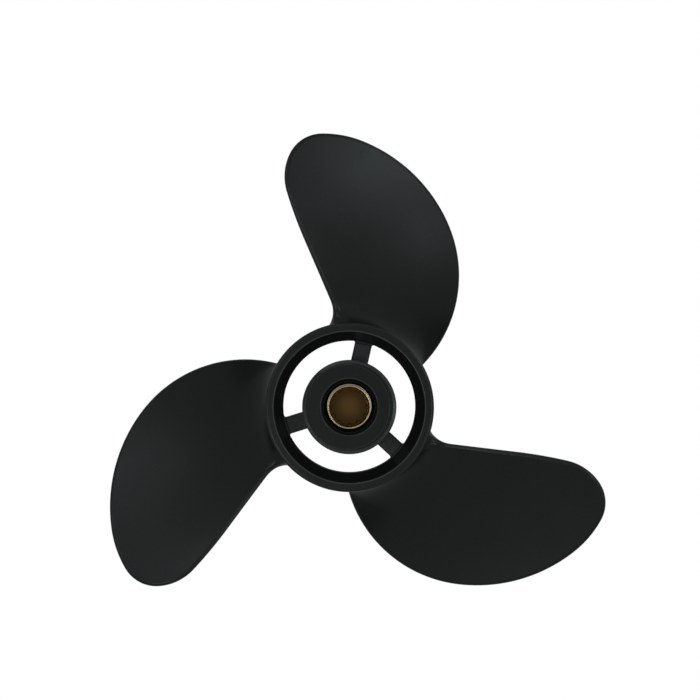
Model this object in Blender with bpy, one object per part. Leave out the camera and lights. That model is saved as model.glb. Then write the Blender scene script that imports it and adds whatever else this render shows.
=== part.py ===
"""Three-blade propeller of a small outboard motor, exhaust through the hub.

The propeller stands on the forward rim of its barrel. +Z is the shaft axis and points aft,
and the origin lies on the axis in the plane of the forward rim. Seen from aft, +Y points
along the first blade, and compass angles grow clockwise from +Y towards +X.
"""

import math
from typing import NamedTuple

import bmesh
import bpy
import numpy as np

MM = 0.001
INCH = 0.0254

# Propeller as a whole
BLADE_COUNT = 3
TIP_RADIUS = 7.8 * INCH / 2
PITCH = 7.0 * INCH
OVERLAP = 0.8 * MM  # how far blades reach into the wall that carries them

# Barrel, a tube that the exhaust leaves through
BARREL_HEIGHT = 66.0 * MM
BARREL_RADIUS = 28.2 * MM
FORWARD_BORE_RADIUS = 25.35 * MM
AFT_BORE_RADIUS = 26.7 * MM
FORWARD_CHAMFER = 1.0 * MM
FLARE_START = 56.0 * MM
FLARE_END = 64.0 * MM
RIM_RADIUS = 29.9 * MM
RIM_OUTER_ROUND = 1.1 * MM
RIM_INNER_CHAMFER = 0.8 * MM
FLARE_STEPS = 4
RIM_ROUND_STEPS = 3
BARREL_SEGMENTS = 96

# Hub, the thick ring on the axis that holds the rubber bush
HUB_FORWARD = 12.0 * MM
HUB_AFT = 54.0 * MM
HUB_FORWARD_RADIUS = 17.3 * MM
HUB_AFT_RADIUS = 16.75 * MM
HUB_AFT_CHAMFER = 0.9 * MM
CHAMBER_RADIUS = 12.2 * MM
CHAMBER_END = 50.0 * MM
HUB_MOUTH_RADIUS = 10.3 * MM
MOUTH_CHAMFER = 0.5 * MM
HUB_SEGMENTS = 72

# Ribs between hub and barrel
RIB_BEARING = math.radians(12.8)
RIB_WIDTH = 6.4 * MM
RIB_FORWARD = 16.0 * MM
RIB_AFT = 44.0 * MM
RIB_FILLET = 1.6 * MM
RIB_INNER_END = 15.0 * MM
RIB_OUTER_END = 27.2 * MM
RIB_FILLET_STEPS = 3

# Outline of one blade seen from aft, walked from the trailing root round the tip to the
# leading root. Headings are clockwise from +Y. An arc is its radius and its sweep in degrees,
# and always turns clockwise.
OUTLINE_START = (-1.6 * MM, 27.0 * MM)
OUTLINE_HEADING = math.radians(-23.6)
TRAILING_STRAIGHT = 36.2 * MM
OUTLINE_ARCS = (
    (158.0 * MM, 6.6),  # slow bend of the trailing edge
    (18.9 * MM, 44.1),  # trailing shoulder
    (13.3 * MM, 59.6),  # corner of the tip
    (37.6 * MM, 22.7),  # round of the tip
    (55.7 * MM, 46.6),  # outer leading edge
    (45.9 * MM, 76.0),  # inner leading edge
)
ARC_SAMPLES = 60

# Section and surface of a blade
BLADE_DATUM_HEIGHT = 42.0 * MM  # height of the blade on its own +Y line at the barrel
RAKE = math.radians(5.0)
ROOT_THICKNESS = 7.6 * MM
TIP_THICKNESS = 2.4 * MM
ROOT_EDGE_THICKNESS = 3.4 * MM
TIP_EDGE_THICKNESS = 1.8 * MM
FACE_FILLET = 6.0 * MM
TRAILING_FILLET = 11.0 * MM
LEADING_FILLET = 5.0 * MM
FILLET_FADE = 4  # power with which the edge fillets fade into the face fillet
FILLET_SINK = 0.05 * MM  # the fillet ends this far under the barrel's skin
EDGE_STEPS = 4
CHORD_STEPS = 8
FILLET_STEPS = 6
SPAN_STEPS = 20

# Rubber bush between hub and sleeve
FIT_GAP = 0.3 * MM
BUSH_FORWARD = 14.0 * MM
BUSH_CHAMFER = 0.8 * MM
BUSH_SEGMENTS = 64

# Brass sleeve with inner splines for the shaft
SLEEVE_FORWARD = 12.4 * MM
SLEEVE_AFT = 54.4 * MM
SLEEVE_RADIUS = 8.05 * MM
SLEEVE_CHAMFER = 0.3 * MM
SPLINE_COUNT = 12
SPLINE_MINOR_RADIUS = 6.2 * MM
SPLINE_MAJOR_RADIUS = 6.75 * MM
SPLINE_AFT = 46.0 * MM
COUNTERBORE_RADIUS = 6.95 * MM
SPLINE_TIP_SHARE = 0.36  # share of a spline's pitch that its tip takes
SPLINE_FOOT_SHARE = 0.52  # share of a spline's pitch that its foot takes

SMOOTH_ANGLE = math.radians(32.0)
MERGE_DISTANCE = 1e-6


def clear_scene():
    """Removes whatever objects the scene holds."""
    for obj in list(bpy.data.objects):
        bpy.data.objects.remove(obj, do_unlink=True)


def material(name, colour, roughness, metallic):
    """Returns a Principled material of one colour."""
    made = bpy.data.materials.new(name)
    made.use_nodes = True
    shader = made.node_tree.nodes["Principled BSDF"]
    shader.inputs["Base Color"].default_value = (*colour, 1.0)
    shader.inputs["Roughness"].default_value = roughness
    shader.inputs["Metallic"].default_value = metallic
    made.diffuse_color = (*colour, 1.0)
    return made


def object_from(name, fill, finish):
    """Makes an object from a bmesh that a function fills, smooth on its round sides."""
    body = bmesh.new()
    fill(body)
    bmesh.ops.remove_doubles(body, verts=body.verts, dist=MERGE_DISTANCE)
    bmesh.ops.recalc_face_normals(body, faces=body.faces)
    mesh = bpy.data.meshes.new(name)
    body.to_mesh(mesh)
    body.free()
    mesh.materials.append(finish)
    mesh.shade_smooth()
    mesh.set_sharp_from_angle(angle=SMOOTH_ANGLE)
    made = bpy.data.objects.new(name, mesh)
    bpy.context.scene.collection.objects.link(made)
    return made


def polar(radius, bearing, height):
    """Returns the point at a compass bearing, seen from aft."""
    return (radius * math.sin(bearing), radius * math.cos(bearing), height)


def turn(body, profile, segments):
    """Turns a closed profile of (radius, height) points once round the axis."""
    points = [body.verts.new((radius, 0.0, height)) for radius, height in profile]
    edges = [body.edges.new((points[i - 1], points[i])) for i in range(len(points))]
    bmesh.ops.spin(
        body,
        geom=points + edges,
        cent=(0.0, 0.0, 0.0),
        axis=(0.0, 0.0, 1.0),
        angle=math.tau,
        steps=segments,
    )


def smooth_step(share):
    """Eases a share of 0 to 1 in and out."""
    return share * share * (3.0 - 2.0 * share)


def barrel_profile():
    """Returns the barrel's section: chamfered forward, flared and rounded aft."""
    profile = [
        (BARREL_RADIUS - FORWARD_CHAMFER, 0.0),
        (BARREL_RADIUS, FORWARD_CHAMFER),
    ]
    for step in range(FLARE_STEPS + 1):
        share = step / FLARE_STEPS
        radius = BARREL_RADIUS + (RIM_RADIUS - BARREL_RADIUS) * smooth_step(share)
        profile.append((radius, FLARE_START + (FLARE_END - FLARE_START) * share))
    for step in range(RIM_ROUND_STEPS + 1):
        angle = math.pi / 2 * step / RIM_ROUND_STEPS
        profile.append((RIM_RADIUS - RIM_OUTER_ROUND * (1.0 - math.cos(angle)),
                        BARREL_HEIGHT - RIM_OUTER_ROUND * (1.0 - math.sin(angle))))
    profile += [
        (AFT_BORE_RADIUS + RIM_INNER_CHAMFER, BARREL_HEIGHT),
        (AFT_BORE_RADIUS, BARREL_HEIGHT - RIM_INNER_CHAMFER),
        (FORWARD_BORE_RADIUS, 0.0),
    ]
    return profile


def hub_profile():
    """Returns the hub's section: a chamber for the bush, open forward, with an aft mouth."""
    return [
        (CHAMBER_RADIUS, HUB_FORWARD),
        (HUB_FORWARD_RADIUS, HUB_FORWARD),
        (HUB_AFT_RADIUS, HUB_AFT - HUB_AFT_CHAMFER),
        (HUB_AFT_RADIUS - HUB_AFT_CHAMFER, HUB_AFT),
        (HUB_MOUTH_RADIUS + MOUTH_CHAMFER, HUB_AFT),
        (HUB_MOUTH_RADIUS, HUB_AFT - MOUTH_CHAMFER),
        (HUB_MOUTH_RADIUS, CHAMBER_END),
        (CHAMBER_RADIUS, CHAMBER_END),
    ]


def bore_radius(height):
    """Returns the barrel's bore radius at a height, which widens aft."""
    return FORWARD_BORE_RADIUS + (AFT_BORE_RADIUS - FORWARD_BORE_RADIUS) * height / BARREL_HEIGHT


def fillet_reach(size, distance):
    """Returns how far a round fillet stands out at a distance from the wall it runs into."""
    if distance >= size:
        return 0.0
    return size - math.sqrt(size * size - (size - max(distance, 0.0)) ** 2)


def rib(body):
    """Fills a bmesh with one rib on +Y, which widens into hub and barrel."""
    middle = (RIB_FORWARD + RIB_AFT) / 2
    inner_wall = HUB_FORWARD_RADIUS + (HUB_AFT_RADIUS - HUB_FORWARD_RADIUS) / 2
    outer_wall = bore_radius(middle)
    steps = [RIB_FILLET * (1.0 - math.cos(math.pi / 2 * i / RIB_FILLET_STEPS))
             for i in range(RIB_FILLET_STEPS + 1)]
    stations = [RIB_INNER_END] + [inner_wall + step for step in steps]
    stations += [outer_wall - step for step in reversed(steps)] + [RIB_OUTER_END]
    rings = []
    for radius in stations:
        flare = fillet_reach(RIB_FILLET, min(radius - inner_wall, outer_wall - radius))
        bearing = (RIB_WIDTH / 2 + flare) / radius
        corners = (
            (-bearing, RIB_FORWARD - flare),
            (bearing, RIB_FORWARD - flare),
            (bearing, RIB_AFT + flare),
            (-bearing, RIB_AFT + flare),
        )
        rings.append([body.verts.new(polar(radius, side, height)) for side, height in corners])
    loft(body, rings)
    body.faces.new(rings[0])
    body.faces.new(rings[-1])


def loft(body, rings):
    """Joins closed rings of equally many points with quads."""
    for lower, upper in zip(rings, rings[1:]):
        for i in range(len(lower)):
            body.faces.new((lower[i - 1], lower[i], upper[i], upper[i - 1]))


def blade_outline():
    """Returns the plan outline of a blade as an array of points, scaled to the tip radius."""
    x, y = OUTLINE_START
    heading = OUTLINE_HEADING
    points = [(x, y)]
    for step in range(1, ARC_SAMPLES + 1):
        run = TRAILING_STRAIGHT * step / ARC_SAMPLES
        points.append((x + run * math.sin(heading), y + run * math.cos(heading)))
    x, y = points[-1]
    for radius, sweep_degrees in OUTLINE_ARCS:
        sweep = math.radians(sweep_degrees)
        centre_x = x + radius * math.cos(heading)
        centre_y = y - radius * math.sin(heading)
        for step in range(1, ARC_SAMPLES + 1):
            angle = heading + sweep * step / ARC_SAMPLES
            points.append((centre_x - radius * math.cos(angle),
                           centre_y + radius * math.sin(angle)))
        heading += sweep
        x, y = points[-1]
    outline = np.array(points)
    return outline * (TIP_RADIUS / np.hypot(*outline.T).max())


class BladeForm:
    """Surface of the blade on +Y, in cylinder coordinates."""

    def __init__(self):
        self.outline = blade_outline()
        radii = np.hypot(*self.outline.T)
        bearings = np.arctan2(self.outline[:, 0], self.outline[:, 1])
        tip = int(radii.argmax())
        self.tip_bearing = float(bearings[tip])
        self.trailing = (radii[:tip + 1], bearings[:tip + 1])
        self.leading = (radii[tip:][::-1], bearings[tip:][::-1])

    def edges(self, radius):
        """Returns the bearings of trailing and leading edge at a radius."""
        return (float(np.interp(radius, *self.trailing)), float(np.interp(radius, *self.leading)))

    def edge_distance(self, radius, bearing):
        """Returns the distance in plan from a point to the blade's outline."""
        point = np.array(polar(radius, bearing, 0.0)[:2])
        starts = self.outline[:-1]
        spans = self.outline[1:] - starts
        share = ((point - starts) * spans).sum(axis=1) / (spans * spans).sum(axis=1)
        nearest = starts + spans * np.clip(share, 0.0, 1.0)[:, None]
        return float(np.hypot(*(point - nearest).T).min())

    def height(self, radius, bearing):
        """Returns the height of the helical middle of the blade's edges."""
        return (BLADE_DATUM_HEIGHT - PITCH * bearing / math.tau
                + math.tan(RAKE) * (radius - BARREL_RADIUS))

    def point(self, radius, place, flare):
        """Returns the skin's point at a place of the section, standing out by the fillet's flare."""
        trailing, leading = self.edges(radius)
        chord = (leading - trailing) * radius
        span_share = (radius - BARREL_RADIUS) / (TIP_RADIUS - BARREL_RADIUS)
        thickness = ROOT_THICKNESS + (TIP_THICKNESS - ROOT_THICKNESS) * span_share
        edge = ROOT_EDGE_THICKNESS + (TIP_EDGE_THICKNESS - ROOT_EDGE_THICKNESS) * span_share
        inset = min(edge / 2, chord / 4)
        outward = 1.0 - place.round_depth
        nearer_edge = -1.0 if place.chord_share < 0.5 else 1.0
        along = inset + place.chord_share * (chord - 2.0 * inset) + nearer_edge * inset * outward
        bearing = trailing + along / radius
        depth = self.edge_distance(radius, bearing)
        fullness = math.sqrt(1.0 - max(0.0, 1.0 - 2.0 * depth / edge) ** 2)
        camber = (thickness - edge) * (1.0 - (2.0 * along / chord - 1.0) ** 2)
        offset = place.side * edge / 2 if place.side > 0 else -edge / 2 - camber
        normal_part = offset * fullness + place.side * math.sqrt(1.0 - outward ** 2) * flare
        chord_part = nearer_edge * outward * flare
        slope = math.atan2(PITCH, math.tau * radius)
        round_part = normal_part * math.sin(slope) + chord_part * math.cos(slope)
        height_part = normal_part * math.cos(slope) - chord_part * math.sin(slope)
        return polar(radius, bearing + round_part / radius,
                     self.height(radius, bearing) + height_part)


class Place(NamedTuple):
    """A place on a blade's section."""

    chord_share: float  # 0 at the trailing and 1 at the leading end between the edge rounds
    round_depth: float  # 0 at the very edge and 1 where the edge's round ends
    side: float  # 1 aft and -1 forward


def section_places():
    """Returns the places round a blade's section, aft side first."""
    rounds = [1.0 - math.cos(math.pi / 2 * i / EDGE_STEPS) for i in range(EDGE_STEPS)]
    one_side = [(0.0, depth) for depth in rounds]
    one_side += [(i / CHORD_STEPS, 1.0) for i in range(CHORD_STEPS + 1)]
    one_side += [(1.0, depth) for depth in reversed(rounds)]
    aft = [Place(share, depth, 1.0) for share, depth in one_side]
    forward = [Place(share, depth, -1.0) for share, depth in reversed(one_side[1:-1])]
    return aft + forward


def root_fillet(chord_share):
    """Returns the size of the root fillet at a share of the chord."""
    return (FACE_FILLET + (TRAILING_FILLET - FACE_FILLET) * (1.0 - chord_share) ** FILLET_FADE
            + (LEADING_FILLET - FACE_FILLET) * chord_share ** FILLET_FADE)


def blade(body):
    """Fills a bmesh with one blade on +Y, from inside the barrel's wall to the tip."""
    form = BladeForm()
    places = section_places()
    foot = BARREL_RADIUS - FILLET_SINK
    rings = [[]]
    for place in places:
        x, y, height = form.point(foot, place, root_fillet(place.chord_share))
        sunk = polar(BARREL_RADIUS - OVERLAP, math.atan2(x, y), height)
        rings[0].append(body.verts.new(sunk))
    for step in range(FILLET_STEPS):
        angle = math.pi / 2 * (1.0 - step / FILLET_STEPS)
        ring = []
        for place in places:
            size = root_fillet(place.chord_share)
            radius = foot + size * (1.0 - math.sin(angle))
            ring.append(body.verts.new(form.point(radius, place, size * (1.0 - math.cos(angle)))))
        rings.append(ring)
    for step in range(SPAN_STEPS):
        to_tip = (1.0 - step / SPAN_STEPS) ** 2
        ring = []
        for place in places:
            span = TIP_RADIUS - foot - root_fillet(place.chord_share)
            ring.append(body.verts.new(form.point(TIP_RADIUS - span * to_tip, place, 0.0)))
        rings.append(ring)
    loft(body, rings)
    tip_height = form.height(TIP_RADIUS, form.tip_bearing)
    tip = body.verts.new(polar(TIP_RADIUS, form.tip_bearing, tip_height))
    for i in range(len(places)):
        body.faces.new((rings[-1][i - 1], rings[-1][i], tip))
    close_foot(body, rings[0])


def close_foot(body, ring):
    """Closes a blade's foot with two strips that follow the barrel's curve."""
    last = len(ring) // 2
    pairs = [(ring[i], ring[-i]) for i in range(1, last)]
    middles = []
    for aft, forward in pairs:
        bearing = (math.atan2(aft.co.x, aft.co.y) + math.atan2(forward.co.x, forward.co.y)) / 2
        height = (aft.co.z + forward.co.z) / 2
        middles.append(body.verts.new(polar(BARREL_RADIUS - OVERLAP, bearing, height)))
    for i in range(len(pairs) - 1):
        body.faces.new((pairs[i][0], pairs[i + 1][0], middles[i + 1], middles[i]))
        body.faces.new((middles[i], middles[i + 1], pairs[i + 1][1], pairs[i][1]))
    for end, pair, middle in ((ring[0], pairs[0], middles[0]),
                              (ring[last], pairs[-1], middles[-1])):
        body.faces.new((end, pair[0], middle))
        body.faces.new((end, middle, pair[1]))


def unite(target, tool):
    """Adds a Boolean union with a tool object, which is hidden."""
    tool.hide_render = True
    tool.display_type = "WIRE"
    tool.hide_viewport = True
    union = target.modifiers.new(f"with_{tool.name}", "BOOLEAN")
    union.operation = "UNION"
    union.solver = "EXACT"
    union.object = tool


def propeller_casting(finish):
    """Makes the casting: barrel, hub, ribs and blades as one body."""
    casting = object_from(
        "propeller_casting", lambda body: turn(body, barrel_profile(), BARREL_SEGMENTS), finish
    )
    unite(casting, object_from(
        "hub_form", lambda body: turn(body, hub_profile(), HUB_SEGMENTS), finish
    ))
    first_rib = object_from("rib_form_1", rib, finish)
    first_blade = object_from("blade_form_1", blade, finish)
    for number in range(BLADE_COUNT):
        bearing = math.tau * number / BLADE_COUNT
        for first, start in ((first_rib, RIB_BEARING), (first_blade, 0.0)):
            tool = first
            if number:
                tool = bpy.data.objects.new(f"{first.name[:-1]}{number + 1}", first.data)
                bpy.context.scene.collection.objects.link(tool)
            tool.rotation_euler.z = -(start + bearing)
            unite(casting, tool)
    return casting


def rubber_bush(finish):
    """Makes the rubber bush, which fills the hub's chamber round the sleeve."""
    inner = SLEEVE_RADIUS + FIT_GAP
    outer = CHAMBER_RADIUS - FIT_GAP
    aft = CHAMBER_END - FIT_GAP
    profile = [
        (inner, BUSH_FORWARD),
        (outer - BUSH_CHAMFER, BUSH_FORWARD),
        (outer, BUSH_FORWARD + BUSH_CHAMFER),
        (outer, aft - BUSH_CHAMFER),
        (outer - BUSH_CHAMFER, aft),
        (inner, aft),
    ]
    return object_from("rubber_bush", lambda body: turn(body, profile, BUSH_SEGMENTS), finish)


def spline_outline():
    """Returns (bearing, radius) points of the sleeve's splined bore."""
    pitch = math.tau / SPLINE_COUNT
    corners = (
        (-0.5, SPLINE_MAJOR_RADIUS),
        (-SPLINE_FOOT_SHARE / 2, SPLINE_MAJOR_RADIUS),
        (-SPLINE_TIP_SHARE / 2, SPLINE_MINOR_RADIUS),
        (0.0, SPLINE_MINOR_RADIUS),
        (SPLINE_TIP_SHARE / 2, SPLINE_MINOR_RADIUS),
        (SPLINE_FOOT_SHARE / 2, SPLINE_MAJOR_RADIUS),
    )
    return [((number + place) * pitch, radius)
            for number in range(SPLINE_COUNT) for place, radius in corners]


def sleeve(body):
    """Fills a bmesh with the sleeve, from its forward end round its outside and back inside."""
    outline = spline_outline()
    round_rings = (
        (SLEEVE_RADIUS - SLEEVE_CHAMFER, SLEEVE_FORWARD),
        (SLEEVE_RADIUS, SLEEVE_FORWARD + SLEEVE_CHAMFER),
        (SLEEVE_RADIUS, SLEEVE_AFT - SLEEVE_CHAMFER),
        (SLEEVE_RADIUS - SLEEVE_CHAMFER, SLEEVE_AFT),
        (COUNTERBORE_RADIUS, SLEEVE_AFT),
        (COUNTERBORE_RADIUS, SPLINE_AFT),
    )
    rings = []
    for radius, height in round_rings:
        rings.append([body.verts.new(polar(radius, bearing, height)) for bearing, _ in outline])
    for height in (SPLINE_AFT, SLEEVE_FORWARD):
        rings.append([body.verts.new(polar(radius, bearing, height))
                      for bearing, radius in outline])
    loft(body, rings + rings[:1])


def main():
    """Builds the propeller."""
    clear_scene()
    propeller_casting(material("black_paint", (0.015, 0.016, 0.017), 0.45, 0.0))
    rubber_bush(material("black_rubber", (0.02, 0.02, 0.02), 0.8, 0.0))
    object_from("splined_sleeve", sleeve, material("brass", (0.80, 0.57, 0.24), 0.3, 1.0))


main()
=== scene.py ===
"""Looks of a small outboard motor's propeller: three blades, exhaust through the hub.

The propeller stands on the forward rim of its barrel. +Z is the shaft axis and points aft, +Y
points along the first blade, and compass bearings grow clockwise from +Y towards +X, seen from
aft. Lengths are in metres.
"""

from __future__ import annotations

import logging
import math
from collections.abc import Callable, Mapping, Sequence
from dataclasses import dataclass, field
from enum import Enum

import bpy
import numpy as np
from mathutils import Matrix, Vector


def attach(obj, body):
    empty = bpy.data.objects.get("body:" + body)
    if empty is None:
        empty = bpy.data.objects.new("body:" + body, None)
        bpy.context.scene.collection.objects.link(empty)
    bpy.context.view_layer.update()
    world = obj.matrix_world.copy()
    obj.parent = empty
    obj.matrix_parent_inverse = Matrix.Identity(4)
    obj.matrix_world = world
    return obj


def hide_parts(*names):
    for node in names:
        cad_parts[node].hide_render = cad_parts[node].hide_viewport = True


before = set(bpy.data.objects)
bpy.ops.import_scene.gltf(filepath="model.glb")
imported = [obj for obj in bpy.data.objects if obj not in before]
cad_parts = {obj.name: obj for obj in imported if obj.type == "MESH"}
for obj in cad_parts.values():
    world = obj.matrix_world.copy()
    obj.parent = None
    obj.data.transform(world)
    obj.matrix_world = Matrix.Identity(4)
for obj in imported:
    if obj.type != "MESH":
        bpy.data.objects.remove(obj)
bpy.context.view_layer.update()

LOG = logging.getLogger("propeller")
MM = 0.001
INCH = 0.0254
MERGE_DISTANCE = 1e-6
SMOOTH_ANGLE = math.radians(34.0)
SHORTEST_BEND = 0.02 * MM
BEND_SPREAD = 2
LONGEST_RUN = 2.4 * MM
CORNER_MARGIN = 0.2 * MM
MARGINS_IN_LONG_RUN = 6.0
LEAST_INSET = 1e-9
NODES_IN_ROW = 24
NODE_STEP_X, NODE_STEP_Y = 180.0, -160.0
MIX_SHARE, MIX_FIRST, MIX_SECOND, MIX_RESULT = 0, 6, 7, 2
BODY = "root"

Point = tuple[float, float]
Band = tuple[float, float]
Colour = tuple[float, float, float]

WHITE: Colour = (1.0, 1.0, 1.0)
COOL_WHITE: Colour = (0.92, 1.0, 1.0)


# Writing node trees


class TreeKind(Enum):
    """Kinds of node group that the script makes."""

    GEOMETRY = "GeometryNodeTree"
    SHADER = "ShaderNodeTree"


class Kind(Enum):
    """Kinds of socket on a node group."""

    GEOMETRY = "NodeSocketGeometry"
    NUMBER = "NodeSocketFloat"
    COUNT = "NodeSocketInt"
    MATERIAL = "NodeSocketMaterial"


class Value:
    """A number in a node tree, which arithmetic can be written with."""

    def __init__(self, sheet: NodeSheet, socket: bpy.types.NodeSocket) -> None:
        """Keeps the socket that carries the number, and the tree it is in."""
        self.sheet = sheet
        self.socket = socket

    def __add__(self, other: Feed) -> Value:
        """Adds."""
        return self.sheet.maths("ADD", self, other)

    def __sub__(self, other: Feed) -> Value:
        """Subtracts."""
        return self.sheet.maths("SUBTRACT", self, other)

    def __rsub__(self, other: Feed) -> Value:
        """Subtracts from a plain number."""
        return self.sheet.maths("SUBTRACT", other, self)

    def __mul__(self, other: Feed) -> Value:
        """Multiplies."""
        return self.sheet.maths("MULTIPLY", self, other)

    def __truediv__(self, other: Feed) -> Value:
        """Divides."""
        return self.sheet.maths("DIVIDE", self, other)

    def __pow__(self, other: Feed) -> Value:
        """Raises to a power."""
        return self.sheet.maths("POWER", self, other)

    def __neg__(self) -> Value:
        """Turns the sign."""
        return self.sheet.maths("MULTIPLY", self, -1.0)

    __radd__ = __add__
    __rmul__ = __mul__

    def sine(self) -> Value:
        """Returns the sine."""
        return self.sheet.maths("SINE", self)

    def cosine(self) -> Value:
        """Returns the cosine."""
        return self.sheet.maths("COSINE", self)

    def root(self) -> Value:
        """Returns the square root."""
        return self.sheet.maths("SQRT", self)

    def size(self) -> Value:
        """Returns the number without its sign."""
        return self.sheet.maths("ABSOLUTE", self)

    def floor(self) -> Value:
        """Returns the whole number below."""
        return self.sheet.maths("FLOOR", self)

    def least(self, other: Feed) -> Value:
        """Returns the smaller of two numbers."""
        return self.sheet.maths("MINIMUM", self, other)

    def most(self, other: Feed) -> Value:
        """Returns the larger of two numbers."""
        return self.sheet.maths("MAXIMUM", self, other)

    def clamped(self) -> Value:
        """Returns the number held between 0 and 1."""
        return self.most(0.0).least(1.0)

    def towards(self, other: Feed, share: Feed) -> Value:
        """Returns the number a share of the way to another."""
        return self + (other - self) * share

    def smooth(self, low: float, high: float) -> Value:
        """Returns 0 below low and 1 above high, eased in between."""
        share = ((self - low) / (high - low)).clamped()
        return share * share * (3.0 - 2.0 * share)


Feed = Value | bpy.types.NodeSocket | float | int | bool | str | tuple | bpy.types.ID


class NodeSheet:
    """A node tree that is being written."""

    def __init__(self, tree: bpy.types.NodeTree) -> None:
        """Takes the tree to write in.

        Args:
            tree: a material's, world's or node group's tree.
        """
        self.tree = tree
        self.entry: bpy.types.Node | None = None
        self.exit: bpy.types.Node | None = None

    @classmethod
    def group(cls, name: str, kind: TreeKind) -> NodeSheet:
        """Starts a node group.

        Args:
            name: the group's name.
            kind: geometry or shader.

        Returns:
            The sheet of the new group.
        """
        sheet = cls(bpy.data.node_groups.new(name, kind.value))
        sheet.entry = sheet.tree.nodes.new("NodeGroupInput")
        sheet.exit = sheet.tree.nodes.new("NodeGroupOutput")
        return sheet

    def inlet(self, name: str, kind: Kind, value: float | None = None) -> Value:
        """Adds a named input to the group.

        Args:
            name: the input's name.
            kind: what it carries.
            value: its default.

        Returns:
            The input, for use in the tree.
        """
        made = self.tree.interface.new_socket(name, in_out="INPUT", socket_type=kind.value)
        if value is not None:
            made.default_value = value
        return Value(self, self.entry.outputs[name])

    def inlets(self, settings: Mapping[str, float | int]) -> dict[str, Value]:
        """Adds a named input for each setting.

        Args:
            settings: names and defaults.

        Returns:
            The inputs by name.
        """
        return {name: self.inlet(name, Kind.COUNT if isinstance(value, int) else Kind.NUMBER,
                                 value) for name, value in settings.items()}

    def outlet(self, name: str, kind: Kind, feed: Value | bpy.types.NodeSocket) -> None:
        """Adds a named output to the group.

        Args:
            name: the output's name.
            kind: what it carries.
            feed: what it puts out.
        """
        self.tree.interface.new_socket(name, in_out="OUTPUT", socket_type=kind.value)
        self.join(feed, self.exit.inputs[name])

    def join(self, feed: Feed, socket: bpy.types.NodeSocket) -> None:
        """Links a socket to what feeds it, or sets its value.

        Args:
            feed: a value or socket to link, or a constant.
            socket: the input to feed.
        """
        if isinstance(feed, Value):
            self.tree.links.new(feed.socket, socket)
        elif isinstance(feed, bpy.types.NodeSocket):
            self.tree.links.new(feed, socket)
        else:
            socket.default_value = feed

    def add(self, node: str, feeds: Mapping[str | int, Feed] | None = None,
            **options: object) -> bpy.types.Node:
        """Adds a node.

        Args:
            node: the node's type.
            feeds: what goes into its inputs, by name or place.
            options: the node's own settings.

        Returns:
            The node.
        """
        made = self.tree.nodes.new(node)
        row, place = divmod(len(self.tree.nodes), NODES_IN_ROW)
        made.location = (NODE_STEP_X * place, NODE_STEP_Y * row)
        for name, value in options.items():
            setattr(made, name, value)
        for name, feed in (feeds or {}).items():
            self.join(feed, made.inputs[name])
        return made

    def maths(self, operation: str, *terms: Feed) -> Value:
        """Adds a Math node.

        Args:
            operation: what the node works out.
            terms: the numbers that go in.

        Returns:
            What comes out.
        """
        made = self.add("ShaderNodeMath", dict(enumerate(terms)), operation=operation)
        return Value(self, made.outputs[0])

    def value(self, node: bpy.types.Node, output: str | int = 0) -> Value:
        """Returns one of a node's outputs as a value."""
        return Value(self, node.outputs[output])

    def parts(self, vector: Feed) -> tuple[Value, Value, Value]:
        """Splits a vector.

        Args:
            vector: what to split.

        Returns:
            Its x, y and z.
        """
        node = self.add("ShaderNodeSeparateXYZ", {0: vector})
        return self.value(node, "X"), self.value(node, "Y"), self.value(node, "Z")

    def polar(self, radius: Feed, bearing: Value, height: Feed) -> Value:
        """Places a point by radius, compass bearing and height.

        Args:
            radius: distance from the axis.
            bearing: angle clockwise from +Y.
            height: place along the axis.

        Returns:
            The point as a vector.
        """
        node = self.add("ShaderNodeCombineXYZ", {"X": bearing.sine() * radius,
                                                 "Y": bearing.cosine() * radius, "Z": height})
        return self.value(node)


def dress(sheet: NodeSheet, shape: Feed, finish: Feed) -> None:
    """Sets the material of a shape and ends a geometry tree with it.

    Args:
        sheet: the tree.
        shape: the geometry.
        finish: the material.
    """
    dressed = sheet.add("GeometryNodeSetMaterial", {"Geometry": shape, "Material": finish})
    sheet.outlet("Geometry", Kind.GEOMETRY, dressed.outputs[0])


def repeat_round(sheet: NodeSheet, shape: Feed, count: Feed, start: Feed, finish: Feed) -> None:
    """Repeats a shape at even bearings round the axis and ends a geometry tree with it.

    Args:
        sheet: the tree.
        shape: the geometry on +Y.
        count: how many there are.
        start: bearing of the first.
        finish: the material.
    """
    line = sheet.add("GeometryNodeMeshLine", {"Count": count, "Offset": (0.0, 0.0, 0.0)})
    index = sheet.value(sheet.add("GeometryNodeInputIndex"))
    bearing = start + index * math.tau / count
    turn = sheet.add("ShaderNodeCombineXYZ", {"Z": -bearing})
    placed = sheet.add("GeometryNodeInstanceOnPoints", {
        "Points": line.outputs["Mesh"], "Instance": shape, "Rotation": turn.outputs[0]})
    real = sheet.add("GeometryNodeRealizeInstances", {"Geometry": placed.outputs[0]})
    dress(sheet, real.outputs[0], finish)


# Making meshes


def polar(radius: float, bearing: float, height: float) -> tuple[float, float, float]:
    """Returns the point at a compass bearing, seen from aft."""
    return (radius * math.sin(bearing), radius * math.cos(bearing), height)


def new_object(name: str, data: bpy.types.ID) -> bpy.types.Object:
    """Puts something in the scene as an object at the origin.

    Args:
        name: the object's name.
        data: its mesh, lamp or camera.

    Returns:
        The object.
    """
    made = bpy.data.objects.new(name, data)
    bpy.context.scene.collection.objects.link(made)
    return made


def plain_mesh(piece: bpy.types.Object, name: str) -> bpy.types.Object:
    """Swaps an object with modifiers for a plain one with their result.

    Args:
        piece: the object, which is removed.
        name: the new object's name.

    Returns:
        The new object.
    """
    graph = bpy.context.evaluated_depsgraph_get()
    mesh = bpy.data.meshes.new_from_object(piece.evaluated_get(graph))
    bpy.data.objects.remove(piece, do_unlink=True)
    mesh.name = name
    return new_object(name, mesh)


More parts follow.
